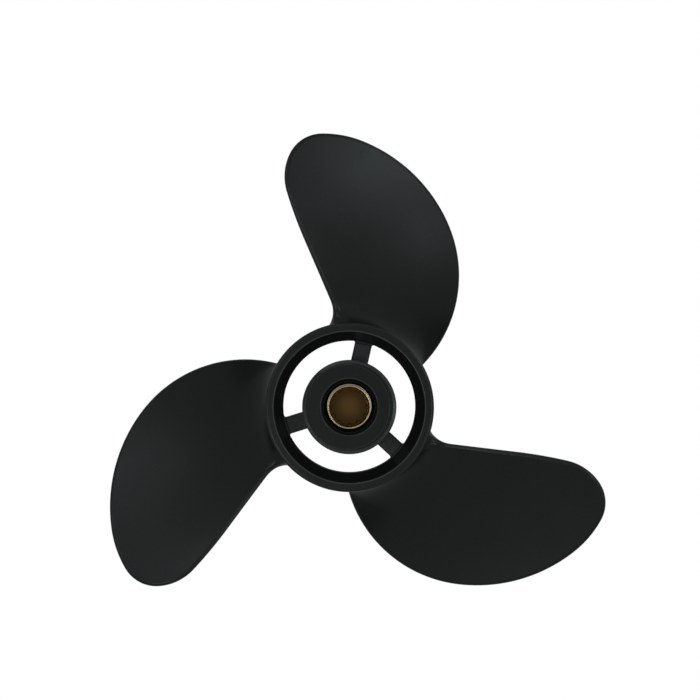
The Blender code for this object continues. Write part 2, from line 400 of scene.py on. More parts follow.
def with_geometry(name: str, mesh: bpy.types.Mesh, tree: bpy.types.NodeTree,
                  settings: Mapping[str, object]) -> bpy.types.Object:
    """Runs a Geometry Nodes tree on a mesh.

    Args:
        name: the object's name.
        mesh: what goes into the tree.
        tree: the tree.
        settings: values of the tree's named inputs.

    Returns:
        An object with the plain mesh that comes out.
    """
    carrier = new_object(f"{name}_carrier", mesh)
    modifier = carrier.modifiers.new(tree.name, "NODES")
    modifier.node_group = tree
    for item in tree.interface.items_tree:
        if item.in_out == "INPUT" and item.name in settings:
            modifier[item.identifier] = settings[item.name]
    return plain_mesh(carrier, name)


def shade(mesh: bpy.types.Mesh) -> None:
    """Shades a mesh smooth, and sharp across its corners."""
    mesh.shade_smooth()
    mesh.set_sharp_from_angle(angle=SMOOTH_ANGLE)


def read(items: bpy.types.bpy_prop_collection, name: str, width: int = 1,
         kind: type = float) -> np.ndarray:
    """Reads a property of all points, edges or faces of a mesh.

    Args:
        items: the points, edges or faces.
        name: the property.
        width: how many numbers it has.
        kind: what they are.

    Returns:
        A row for each item, or a plain array where the property is one number.
    """
    values = np.empty(len(items) * width, dtype=kind)
    items.foreach_get(name, values)
    return values if width == 1 else values.reshape(-1, width)


def fill_slots(mesh: bpy.types.Mesh, finish: bpy.types.Material, count: int, used: int) -> None:
    """Puts a finish in a mesh's material slots, and all of its faces in one slot.

    Args:
        mesh: the mesh.
        finish: the finish.
        count: how many slots it has.
        used: the slot of the faces.
    """
    mesh.materials.clear()
    for _ in range(count):
        mesh.materials.append(finish)
    mesh.polygons.foreach_set("material_index", [used] * len(mesh.polygons))


def part_at_seams(mesh: bpy.types.Mesh) -> None:
    """Makes the edges sharp where faces of different slots meet, so their shading stays apart.

    Args:
        mesh: the mesh, shaded smooth.
    """
    slots = np.repeat(read(mesh.polygons, "material_index", kind=int),
                      read(mesh.polygons, "loop_total", kind=int))
    edges = read(mesh.loops, "edge_index", kind=int)
    lowest, highest = np.full(len(mesh.edges), slots.max()), np.zeros(len(mesh.edges))
    np.minimum.at(lowest, edges, slots)
    np.maximum.at(highest, edges, slots)
    sharp = read(mesh.edges, "use_edge_sharp", kind=bool) | (lowest != highest)
    mesh.edges.foreach_set("use_edge_sharp", sharp)


@dataclass(frozen=True)
class Corner:
    """A corner of a turned section."""

    radius: float
    height: float
    rounding: float = 0.0


def rounded(corners: Sequence[Corner], steps: int) -> list[Point]:
    """Rounds the corners of a closed section, divides its long runs and margins their ends.

    Args:
        corners: the corners, each with the radius of its rounding.
        steps: faces on each rounding.

    Returns:
        Points (radius, height) round the section.
    """
    points: list[Vector] = []
    for i, corner in enumerate(corners):
        here = Vector((corner.radius, corner.height))
        before = Vector((corners[i - 1].radius, corners[i - 1].height)) - here
        after_corner = corners[(i + 1) % len(corners)]
        after = Vector((after_corner.radius, after_corner.height)) - here
        if corner.rounding <= 0.0:
            points.append(here)
            continue
        half = before.angle(after) / 2
        reach = corner.rounding / math.tan(half)
        first, last = here + before.normalized() * reach, here + after.normalized() * reach
        middle = (before.normalized() + after.normalized()).normalized()
        centre = here + middle * (corner.rounding / math.sin(half))
        for step in range(steps + 1):
            along = (first - centre).slerp(last - centre, step / steps)
            points.append(centre + along.normalized() * corner.rounding)
    section: list[Point] = []
    for start, end in zip(points, points[1:] + points[:1]):
        run = (end - start).length
        pieces = max(1, math.ceil(run / LONGEST_RUN))
        shares = [i / pieces for i in range(pieces)]
        if run > MARGINS_IN_LONG_RUN * CORNER_MARGIN:
            shares += [CORNER_MARGIN / run, 1.0 - CORNER_MARGIN / run]
        section += [tuple(start.lerp(end, share)) for share in sorted(shares)]
    return section


def turned(name: str, section_at: Callable[[float], Sequence[Point]],
           segments: int) -> bpy.types.Mesh:
    """Turns a closed section round the axis.

    Args:
        name: the mesh's name.
        section_at: gives the section's points at a bearing, always as many.
        segments: faces round the axis.

    Returns:
        The mesh, with its faces outwards.
    """
    bearings = [math.tau * i / segments for i in range(segments)]
    rings = [section_at(bearing) for bearing in bearings]
    count = len(rings[0])
    points = [polar(radius, bearing, height)
              for bearing, ring in zip(bearings, rings) for radius, height in ring]
    faces = []
    for i in range(segments):
        here, there = i * count, (i + 1) % segments * count
        for j in range(count):
            k = (j + 1) % count
            faces.append((here + j, there + j, there + k, here + k))
    mesh = bpy.data.meshes.new(name)
    mesh.from_pydata(points, [], faces)
    face_outwards(mesh)
    return mesh


def face_outwards(mesh: bpy.types.Mesh) -> None:
    """Turns a closed mesh's faces outwards, by the sign of its volume.

    Args:
        mesh: the mesh.
    """
    mesh.update()
    mesh.calc_loop_triangles()
    corners = read(mesh.loop_triangles, "vertices", 3, int)
    a, b, c = read(mesh.vertices, "co", 3)[corners].transpose(1, 0, 2)
    if np.einsum("ij,ij->i", a, np.cross(b, c)).sum() < 0.0:
        mesh.flip_normals()


def mark_bends(mesh: bpy.types.Mesh, sharpest: float) -> None:
    """Stores how far each point lies on an outer edge or in a hollow, as `edge` and `hollow`.

    Args:
        mesh: the mesh.
        sharpest: radius of a bend that counts in full.
    """
    count = len(mesh.vertices)
    points, normals = read(mesh.vertices, "co", 3), read(mesh.vertex_normals, "vector", 3)
    start, end = read(mesh.edges, "vertices", 2, int).T
    step, turn = points[end] - points[start], normals[end] - normals[start]
    length = np.linalg.norm(step, axis=1)
    bend = (turn * step).sum(axis=1) / np.maximum(length, SHORTEST_BEND) ** 2
    bend[length <= SHORTEST_BEND] = 0.0
    links = np.zeros(count)
    np.add.at(links, start, 1.0)
    np.add.at(links, end, 1.0)
    for name, sign in (("edge", 1.0), ("hollow", -1.0)):
        share = np.zeros(count)
        here = np.clip(sign * bend * sharpest, 0.0, 1.0)
        np.maximum.at(share, start, here)
        np.maximum.at(share, end, here)
        for _ in range(BEND_SPREAD):
            around = np.zeros(count)
            np.add.at(around, start, share[end])
            np.add.at(around, end, share[start])
            share = (share + around / np.maximum(links, 1.0)) / 2
        stored = mesh.attributes.new(name, "FLOAT", "POINT")
        stored.data.foreach_set("value", share.astype(np.float32))


# Effects that more than one finish uses


def start_material(name: str) -> tuple[bpy.types.Material, NodeSheet, bpy.types.Node]:
    """Starts a material.

    Args:
        name: its name.

    Returns:
        The material, its sheet and its Principled BSDF.
    """
    made = bpy.data.materials.new(name)
    made.use_nodes = True
    return made, NodeSheet(made.node_tree), made.node_tree.nodes["Principled BSDF"]


def surface(sheet: NodeSheet, shader: bpy.types.Node, tone: Feed, rough: Feed, height: Feed,
            depth: float) -> None:
    """Gives a shader its colour, roughness and bump.

    Args:
        sheet: the material's tree.
        shader: the shader.
        tone: the colour.
        rough: the roughness.
        height: the bump's height.
        depth: what a height of 1 stands for.
    """
    bump = sheet.add("ShaderNodeBump", {"Height": height, "Strength": 1.0, "Distance": depth})
    for name, feed in (("Base Color", tone), ("Roughness", rough), ("Normal", bump.outputs[0])):
        sheet.join(feed, shader.inputs[name])


class Effects:
    """Shader node groups, each built once."""

    finer: float = 5.3
    broad_share: float = 1.4
    fine_share: float = 0.6
    break_strength: float = 1.6
    edge_bend: Band = (0.25, 0.95)
    hollow_bend: Band = (0.05, 0.6)

    def __init__(self) -> None:
        """Builds the groups."""
        self.mottle = self.build_mottle()
        self.skin = self.build_skin()
        self.edges = self.build_edges()

    @staticmethod
    def noise(sheet: NodeSheet, scale: Feed, detail: float, roughness: float = 0.5) -> Value:
        """Adds a noise over the piece's own space.

        Args:
            sheet: the tree.
            scale: patches in a metre.
            detail: how many finer layers it has.
            roughness: how strong the finer layers are.

        Returns:
            The noise, around 0.5.
        """
        place = sheet.add("ShaderNodeTexCoord").outputs["Object"]
        node = sheet.add("ShaderNodeTexNoise", {"Vector": place, "Scale": scale, "Detail": detail,
                                                "Roughness": roughness})
        return sheet.value(node, "Fac")

    def masks(self, sheet: NodeSheet, patches: float) -> tuple[Value, Value]:
        """Places the masks of the sharp outer edges and of the hollows in a material.

        Args:
            sheet: the material's tree.
            patches: patches in a metre of what breaks the edges up.

        Returns:
            The edges' mask and the hollows' mask.
        """
        edge = use(sheet, self.edges, "Edge", Patches_per_Metre=patches)
        return edge, sheet.value(edge.socket.node, "Hollow")

    @classmethod
    def build_mottle(cls) -> bpy.types.NodeTree:
        """Builds the cloudy variation of a finish.

        Returns:
            A group that puts out a value that swings about 0.
        """
        sheet = NodeSheet.group("Mottle", TreeKind.SHADER)
        scale = sheet.inlet("Patches per Metre", Kind.NUMBER, 60.0)
        strength = sheet.inlet("Strength", Kind.NUMBER, 1.0)
        broad = cls.noise(sheet, scale, detail=2.0)
        fine = cls.noise(sheet, scale * cls.finer, detail=3.0, roughness=0.6)
        swing = (broad - 0.5) * cls.broad_share + (fine - 0.5) * cls.fine_share
        sheet.outlet("Swing", Kind.NUMBER, swing * strength)
        return sheet.tree

    @classmethod
    def build_skin(cls) -> bpy.types.NodeTree:
        """Builds the skin of a coated or moulded piece: slow waves, and a fine grain.

        Returns:
            A group that puts out a height.
        """
        sheet = NodeSheet.group("Skin", TreeKind.SHADER)
        waves = sheet.inlet("Waves per Metre", Kind.NUMBER, 90.0)
        wave_height = sheet.inlet("Wave Height", Kind.NUMBER, 1.0)
        grains = sheet.inlet("Grains per Metre", Kind.NUMBER, 1800.0)
        grain_height = sheet.inlet("Grain Height", Kind.NUMBER, 0.2)
        height = (cls.noise(sheet, waves, detail=1.0) - 0.5) * wave_height
        height = height + (cls.noise(sheet, grains, detail=1.5) - 0.5) * grain_height
        sheet.outlet("Height", Kind.NUMBER, height)
        return sheet.tree

    @classmethod
    def build_edges(cls) -> bpy.types.NodeTree:
        """Builds masks of the sharp outer edges and of the hollows.

        Returns:
            A group that puts out both masks.
        """
        sheet = NodeSheet.group("Edges and Hollows", TreeKind.SHADER)
        patches = sheet.inlet("Patches per Metre", Kind.NUMBER, 400.0)
        breaks = sheet.inlet("Break-up", Kind.NUMBER, 0.5)
        edge = sheet.value(sheet.add("ShaderNodeAttribute", attribute_name="edge"), "Fac")
        hollow = sheet.value(sheet.add("ShaderNodeAttribute", attribute_name="hollow"), "Fac")
        noise = cls.noise(sheet, patches, detail=3.0, roughness=0.65)
        broken = 1.0 - breaks + noise * breaks * cls.break_strength
        sheet.outlet("Edge", Kind.NUMBER, (edge.smooth(*cls.edge_bend) * broken).clamped())
        sheet.outlet("Hollow", Kind.NUMBER, hollow.smooth(*cls.hollow_bend))
        return sheet.tree


def use(sheet: NodeSheet, tree: bpy.types.NodeTree, output: str | int = 0,
        **values: Feed) -> Value:
    """Places a node group in a material.

    Args:
        sheet: the material's tree.
        tree: the group.
        output: the output wanted.
        values: values of its inputs, with underscores for the spaces of their names.

    Returns:
        That output.
    """
    node = sheet.add("ShaderNodeGroup", node_tree=tree)
    for name, value in values.items():
        sheet.join(value, node.inputs[name.replace("_", " ")])
    return sheet.value(node, output)


def mixed(sheet: NodeSheet, share: Feed, first: Feed, second: Feed) -> bpy.types.NodeSocket:
    """Mixes two colours.

    Args:
        sheet: the tree.
        share: how much of the second shows.
        first: a colour.
        second: another colour.

    Returns:
        The mixed colour.
    """
    feeds = {MIX_SHARE: share, MIX_FIRST: rgba(first), MIX_SECOND: rgba(second)}
    node = sheet.add("ShaderNodeMix", feeds, data_type="RGBA", clamp_factor=True)
    return node.outputs[MIX_RESULT]


def rgba(colour: Feed) -> Feed:
    """Gives a plain colour its fourth number, and leaves a socket as it is."""
    return (*colour, 1.0) if isinstance(colour, tuple) else colour


# Finishes


@dataclass(frozen=True)
class CastPaint:
    """Satin black paint baked onto the aluminium casting, with painted highlights on its sharp
    outer edges.
    """

    effects: Effects
    colour: Colour = (0.0072, 0.0082, 0.0082)
    cloud: Colour = (0.0092, 0.0104, 0.0104)
    dust_and_edge_highlight: Colour = (0.150, 0.158, 0.158)
    edge_highlight_share: float = 0.55
    edge_polish: float = 0.05
    hollow_polish: float = 0.02
    speck_share: float = 0.25
    specks_per_metre: float = 2600.0
    speck_size: Band = (0.68, 0.78)
    haze: float = 0.10
    cloud_haze: float = 0.04
    roughness: float = 0.31
    least_roughness: float = 0.2
    relief: float = 0.04 * MM

    def material(self) -> bpy.types.Material:
        """Builds the material.

        Returns:
            The material.
        """
        made, sheet, shader = start_material("black_cast_paint")
        edge, hollow = self.effects.masks(sheet, patches=350.0)
        cloud = use(sheet, self.effects.mottle, Patches_per_Metre=45.0, Strength=1.0)
        haze = use(sheet, self.effects.mottle, Patches_per_Metre=130.0, Strength=0.5)
        specks = Effects.noise(sheet, self.specks_per_metre, detail=1.0).smooth(*self.speck_size)
        tone = mixed(sheet, cloud + 0.5, self.colour, self.cloud)
        # painted highlight: the sharp outer edges are lightened towards a pale grey
        tone = mixed(sheet, edge * self.edge_highlight_share, tone, self.dust_and_edge_highlight)
        # light specks of dust, in the same pale grey
        tone = mixed(sheet, specks * self.speck_share, tone, self.dust_and_edge_highlight)
        rough = (self.roughness + haze * self.haze + cloud * self.cloud_haze
                 - edge * self.edge_polish - hollow * self.hollow_polish)
        height = use(sheet, self.effects.skin, Waves_per_Metre=70.0, Wave_Height=1.0,
                     Grains_per_Metre=1500.0, Grain_Height=0.13)
        surface(sheet, shader, tone, rough.most(self.least_roughness), height, self.relief)
        return made


@dataclass(frozen=True)
class MouldedRubber:
    """Dull black rubber of the bush."""

    effects: Effects
    colour: Colour = (0.0050, 0.0045, 0.0042)
    bloom: Colour = (0.0100, 0.0090, 0.0082)
    bloom_share: float = 0.35
    dust_per_metre: float = 1900.0
    dust_size: Band = (0.56, 0.74)
    dust_share: float = 0.3
    shine: float = 0.2
    roughness: float = 0.78
    cloud_haze: float = 0.15
    relief: float = 0.03 * MM

    def material(self) -> bpy.types.Material:
        """Builds the material.

        Returns:
            The material.
        """
        made, sheet, shader = start_material("moulded_black_rubber")
        cloud = use(sheet, self.effects.mottle, Patches_per_Metre=220.0, Strength=1.0)
        dust = Effects.noise(sheet, self.dust_per_metre, detail=3.0, roughness=0.7)
        tone = mixed(sheet, cloud + self.bloom_share, self.colour, self.bloom)
        tone = mixed(sheet, dust.smooth(*self.dust_size) * self.dust_share, tone, self.bloom)
        shader.inputs["Specular IOR Level"].default_value = self.shine
        height = use(sheet, self.effects.skin, Waves_per_Metre=400.0, Wave_Height=0.5,
                     Grains_per_Metre=5200.0, Grain_Height=0.6)
        surface(sheet, shader, tone, self.roughness + cloud * self.cloud_haze, height,
                self.relief)
        return made


@dataclass(frozen=True)
class TurnedBrass:
    """Brass as it comes off the lathe, with light tarnish: bright at the aft rim, and darkened by
    painted shade within the bore below it.
    """

    effects: Effects
    colour: Colour = (0.95, 0.69, 0.345)
    tarnish_and_shade: Colour = (0.50, 0.345, 0.135)
    # painted shade inside the bore: the brass is darkened below this height and within this radius
    painted_shade_below: Band = (51.0 * MM, 53.6 * MM)
    painted_shade_within: Band = (7.2 * MM, 7.5 * MM)
    painted_bore_shade_share: float = 0.9
    cloud_dullness: float = 0.7
    cloud_level: float = 0.12
    hollow_dullness: float = 0.5
    groove_dullness: float = 0.5
    edge_brightness: float = 0.5
    grooves_per_metre: float = 5200.0
    groove_length: float = 0.9
    cloud_haze: float = 0.12
    groove_haze: float = 0.15
    roughness: float = 0.26
    least_roughness: float = 0.12
    relief: float = 0.008 * MM

    def material(self) -> bpy.types.Material:
        """Builds the material.

        Returns:
            The material.
        """
        made, sheet, shader = start_material("turned_brass")
        shader.inputs["Metallic"].default_value = 1.0
        x, y, z = sheet.parts(sheet.add("ShaderNodeTexCoord").outputs["Object"])
        radius = (x * x + y * y).root()
        track = sheet.add("ShaderNodeCombineXYZ", {"X": radius, "Y": z * self.groove_length})
        grooves = sheet.value(sheet.add("ShaderNodeTexNoise", {
            "Vector": track.outputs[0], "Scale": self.grooves_per_metre, "Detail": 2.0}))
        edge, hollow = self.effects.masks(sheet, patches=900.0)
        cloud = use(sheet, self.effects.mottle, Patches_per_Metre=260.0, Strength=1.0)
        # painted shade: the bore below the aft rim and within the counterbore is darkened towards
        # the dark brass colour
        deep = (1.0 - z.smooth(*self.painted_shade_below)) * (1.0 - radius.smooth(*self.painted_shade_within))
        # the mix towards the dark colour: random tarnish, hollows, the painted bore shade and
        # grooves, less the brighter sharp edges
        dull = ((cloud + self.cloud_level) * self.cloud_dullness + hollow * self.hollow_dullness
                + deep * self.painted_bore_shade_share + (grooves - 0.5) * self.groove_dullness
                - edge * self.edge_brightness)
        tone = mixed(sheet, dull.clamped(), self.colour, self.tarnish_and_shade)
        rough = self.roughness + cloud * self.cloud_haze + (grooves - 0.5) * self.groove_haze
        surface(sheet, shader, tone, rough.most(self.least_roughness), grooves, self.relief)
        return made


# The casting


@dataclass(frozen=True)
class Barrel:
    """Outer tube of the casting, which the exhaust leaves through."""

    height: float = 66.0 * MM
    radius: float = 28.2 * MM
    forward_bore: float = 25.35 * MM
    waist_bore: float = 24.0 * MM
    aft_bore: float = 26.65 * MM
    waist_start: float = 43.0 * MM
    waist_end: float = 45.5 * MM
    forward_chamfer: float = 1.0 * MM
    flare_start: float = 56.0 * MM
    flare_end: float = 64.0 * MM
    rim_radius: float = 29.9 * MM
    rim_outer_round: float = 1.1 * MM
    rim_inner_round: float = 0.3 * MM
    waist_round: float = 0.8 * MM
    forward_rounds: tuple[float, float, float] = (0.3 * MM, 0.35 * MM, 0.5 * MM)
    flare_steps: int = 8
    round_steps: int = 6
    segments: int = 224

    def bore_radius(self, height: Value) -> Value:
        """Returns the bore's radius at a height forward of the waist's end."""
        slope = (self.waist_bore - self.forward_bore) / self.waist_start
        return (height * slope + self.forward_bore).most(self.waist_bore)

    def section(self) -> list[Point]:
        """Draws the tube's section: narrowest at the ribs' aft end, flared at the rim.

        Returns:
            Its points (radius, height).
        """
        bore_round, foot_round, chamfer_round = self.forward_rounds
        corners = [
            Corner(self.forward_bore, 0.0, bore_round),
            Corner(self.radius - self.forward_chamfer, 0.0, foot_round),
            Corner(self.radius, self.forward_chamfer, chamfer_round),
        ]
        for step in range(self.flare_steps):
            share = step / self.flare_steps
            out = (self.rim_radius - self.radius) * share * share * (3.0 - 2.0 * share)
            corners.append(Corner(self.radius + out,
                                  self.flare_start + (self.flare_end - self.flare_start) * share))
        corners += [
            Corner(self.rim_radius, self.height, self.rim_outer_round),
            Corner(self.aft_bore, self.height, self.rim_inner_round),
            Corner(self.waist_bore, self.waist_end, self.waist_round),
            Corner(self.waist_bore, self.waist_start, self.waist_round),
        ]
        return rounded(corners, self.round_steps)

    def build(self) -> bpy.types.Object:
        """Builds the tube."""
        section = self.section()
        return new_object("barrel_form", turned("barrel_form", lambda _: section, self.segments))


@dataclass(frozen=True)
class Hub:
    """Thick ring on the axis that holds the bush, faced off a little out of centre."""

    forward: float = 12.0 * MM
    aft: float = 54.0 * MM
    forward_radius: float = 17.3 * MM
    aft_radius: float = 16.9 * MM
    shoulder_width: float = 1.15 * MM
    shoulder_depth: float = 0.28 * MM
    chamber_radius: float = 12.2 * MM
    chamber_end: float = 50.0 * MM
    mouth_radius: float = 10.25 * MM
    lip_radius: float = 9.1 * MM
    lip_depth: float = 1.25 * MM
    face_radius: float = 15.3 * MM
    face_offset: float = 0.75 * MM
    face_step: float = 0.22 * MM
    least_shoulder: float = 0.15 * MM
    moved_depth: float = 1.5 * MM
    forward_round: float = 0.8 * MM
    chamber_round: float = 0.4 * MM
    chamber_end_round: float = 0.5 * MM
    shoulder_round: float = 0.35 * MM
    seat_round: float = 0.5 * MM
    step_foot_round: float = 0.05 * MM
    step_round: float = 0.14 * MM
    mouth_round: float = 0.2 * MM
    round_steps: int = 5
    segments: int = 192

    def outer_radius(self, height: Feed) -> Feed:
        """Returns the outer radius at a height."""
        slope = (self.aft_radius - self.forward_radius) / (self.aft - self.forward)
        return (height - self.forward) * slope + self.forward_radius

    def section(self) -> list[Point]:
        """Draws the section: the bush's chamber, a coned mouth and a face above a low step.

        Returns:
            Its points (radius, height).
        """
        low_face = self.aft - self.face_step
        return rounded([
            Corner(self.chamber_radius, self.forward, self.chamber_round),
            Corner(self.forward_radius, self.forward, self.forward_round),
            Corner(self.aft_radius, low_face - self.shoulder_depth, self.shoulder_round),
            Corner(self.aft_radius - self.shoulder_width, low_face, self.seat_round),
            Corner(self.face_radius, low_face, self.step_foot_round),
            Corner(self.face_radius, self.aft, self.step_round),
            Corner(self.mouth_radius, self.aft, self.mouth_round),
            Corner(self.lip_radius, self.aft - self.lip_depth, self.mouth_round),
            Corner(self.lip_radius, self.chamber_end, self.mouth_round),
            Corner(self.chamber_radius, self.chamber_end, self.chamber_end_round),
        ], self.round_steps)

    def off_centre(self, section: Sequence[Point], bearing: float) -> list[Point]:
        """Moves the end of the machined face to a circle that lies a little left of the axis.

        Args:
            section: the section's points.
            bearing: compass bearing of the section.

        Returns:
            The points at that bearing. The low step and the shoulder are widest on the right.
        """
        face_end = self.face_radius - self.face_offset * math.sin(bearing)
        seat_end = self.aft_radius - self.shoulder_width
        inner = self.mouth_radius
        before = (inner, self.face_radius, seat_end, self.aft_radius)
        seat_after = max(seat_end, face_end + self.least_shoulder)
        after = (inner, face_end, seat_after, self.aft_radius)
        low_face = self.aft - self.face_step
        shallower = (self.aft_radius - seat_after) / self.shoulder_width
        moved = []
        for radius, height in section:
            if inner < radius < self.aft_radius and height > self.aft - self.moved_depth:
                if radius > seat_end:
                    height = low_face - (low_face - height) * shallower
                radius = float(np.interp(radius, before, after))
            moved.append((radius, height))
        return moved

    def build(self) -> bpy.types.Object:
        """Builds the ring.

        Returns:
            The ring as an object.
        """
        section = self.section()
        mesh = turned("hub_form", lambda bearing: self.off_centre(section, bearing), self.segments)
        return new_object("hub_form", mesh)


@dataclass(frozen=True)
class Ribs:
    """Three ribs that carry the hub in the barrel."""

    hub: Hub
    barrel: Barrel
    count: int = 3
    bearing: float = math.radians(12.8)
    width: float = 6.3 * MM
    forward: float = 16.0 * MM
    aft: float = 46.2 * MM
    corner_round: float = 0.45 * MM
    draft: float = 0.022
    fillet: float = 1.0 * MM
    groove: float = 0.35 * MM
    groove_width: float = 0.8 * MM
    inner_sink: float = 1.2 * MM
    outer_sink: float = 0.4 * MM
    corner_steps: int = 5
    rows: int = 60

    def settings(self) -> dict[str, float | int]:
        """Lists the tree's named inputs.

        Returns:
            Their names and values.
        """
        return {
            "Count": self.count,
            "First Bearing": self.bearing,
            "Width": self.width,
            "Length Along Axis": self.aft - self.forward,
            "Corner Round": self.corner_round,
            "Wall Fillet": self.fillet,
            "Groove": self.groove,
            "Rows": self.rows,
        }

    def tree(self) -> bpy.types.NodeTree:
        """Writes the tree: a rounded bar that widens into the barrel, repeated round the axis.

        Returns:
            The Geometry Nodes tree.
        """
        sheet = NodeSheet.group("Hub Ribs", TreeKind.GEOMETRY)
        sheet.inlet("Geometry", Kind.GEOMETRY)
        named = sheet.inlets(self.settings())
        finish = sheet.inlet("Finish", Kind.MATERIAL)
        width, tall, fillet = named["Width"], named["Length Along Axis"], named["Wall Fillet"]
        frame_curve = sheet.add("GeometryNodeCurvePrimitiveQuadrilateral",
                                {"Width": width, "Height": tall})
        section = sheet.add("GeometryNodeFilletCurve", {
            "Curve": frame_curve.outputs[0], "Count": self.corner_steps,
            "Radius": named["Corner Round"]}, mode="POLY")
        path = sheet.add("GeometryNodeCurvePrimitiveLine", {"End": (0.0, 0.0, 1.0)})
        stations = sheet.add("GeometryNodeResampleCurve", {
            "Curve": path.outputs[0], "Count": named["Rows"]})
        bar = sheet.add("GeometryNodeCurveToMesh", {
            "Curve": stations.outputs[0], "Profile Curve": section.outputs[0], "Fill Caps": True})
        side, along, share = sheet.parts(sheet.add("GeometryNodeInputPosition").outputs[0])
        height = along + (self.forward + self.aft) / 2
        inner_wall = self.hub.outer_radius(height)
        outer_wall = self.barrel.bore_radius(height)
        eased = 0.5 - (share * math.pi).cosine() * 0.5
        radius = (inner_wall - self.inner_sink).towards(outer_wall + self.outer_sink, eased)
        distance = outer_wall - radius
        left = fillet - distance.most(0.0).least(fillet)
        flare = fillet - (fillet * fillet - left * left).most(0.0).root()
        spread = side - side * along * 2.0 / tall * self.draft * 2.0 + side * 2.0 / width * flare
        beside = 1.0 - distance.smooth(self.groove_width * 0.5, self.groove_width)
        height = height - along * 2.0 / tall * beside * named["Groove"]
        moved = sheet.add("GeometryNodeSetPosition", {
            "Geometry": bar.outputs[0], "Position": sheet.polar(radius, spread / radius, height)})
        repeat_round(sheet, moved.outputs[0], named["Count"], named["First Bearing"], finish)
        return sheet.tree

    def build(self, finish: bpy.types.Material) -> bpy.types.Object:
        """Builds the three ribs.

        Args:
            finish: their material.

        Returns:
            An object with all of them.
        """
        made = with_geometry("rib_forms", bpy.data.meshes.new("rib_start"), self.tree(),
                             {**self.settings(), "Finish": finish})
        face_outwards(made.data)
        return made


@dataclass(frozen=True)
class Arc:
    """An arc of a blade's outline, which turns clockwise."""

    radius: float
    sweep_degrees: float


@dataclass(frozen=True)
class BladeOutline:
    """Outline of one blade seen from aft, walked from the trailing root round the tip."""

    tip_radius: float = 7.8 * INCH / 2
    start: Point = (-1.6 * MM, 27.0 * MM)
    heading: float = math.radians(-23.6)
    straight: float = 36.2 * MM
    arcs: tuple[Arc, ...] = (
        Arc(158.0 * MM, 6.6),
        Arc(18.9 * MM, 44.1),
        Arc(13.3 * MM, 59.6),
        Arc(37.6 * MM, 22.7),
        Arc(55.7 * MM, 46.6),
        Arc(45.9 * MM, 76.0),
    )
    samples: int = 200

    def points(self) -> np.ndarray:
        """Walks the outline.

        Returns:
            Its points, scaled so that the farthest lies at the tip radius.
        """
        x, y = self.start
        heading = self.heading
        share = np.linspace(0.0, 1.0, self.samples + 1)
        runs = [np.column_stack((x + share * self.straight * math.sin(heading),
                                 y + share * self.straight * math.cos(heading)))]
        for arc in self.arcs:
            x, y = runs[-1][-1]
            angle = heading + share[1:] * math.radians(arc.sweep_degrees)
            centre_x = x + arc.radius * math.cos(heading)
            centre_y = y - arc.radius * math.sin(heading)
            runs.append(np.column_stack((centre_x - arc.radius * np.cos(angle),
                                         centre_y + arc.radius * np.sin(angle))))
            heading = float(angle[-1])
        walked = np.vstack(runs)
        return walked * (self.tip_radius / np.hypot(*walked.T).max())

    def edge_lines(self, foot_radius: float, rungs: int) -> bpy.types.Mesh:
        """Makes the trailing and the leading edge as two lines of points at the same radii.

        Args:
            foot_radius: radius of the first pair of points.
            rungs: how many pairs there are. They crowd towards the tip.

        Returns:
            A mesh with the trailing edge's points first.
        """
        points = self.points()
        radii = np.hypot(*points.T)
        bearings = np.arctan2(points[:, 0], points[:, 1])
        tip = int(radii.argmax())
        to_tip = 1.0 - np.linspace(0.0, 1.0, rungs)
        wanted = self.tip_radius - (self.tip_radius - foot_radius) * to_tip ** 2
        trailing = np.interp(wanted, radii[:tip + 1], bearings[:tip + 1])
        leading = np.interp(wanted, radii[tip:][::-1], bearings[tip:][::-1])
        both = [polar(radius, bearing, 0.0) for line in (trailing, leading)
                for radius, bearing in zip(wanted, line)]
        links = [(first + i, first + i + 1) for first in (0, rungs) for i in range(rungs - 1)]
        mesh = bpy.data.meshes.new("blade_edges")
        mesh.from_pydata(both, links, [])
        return mesh


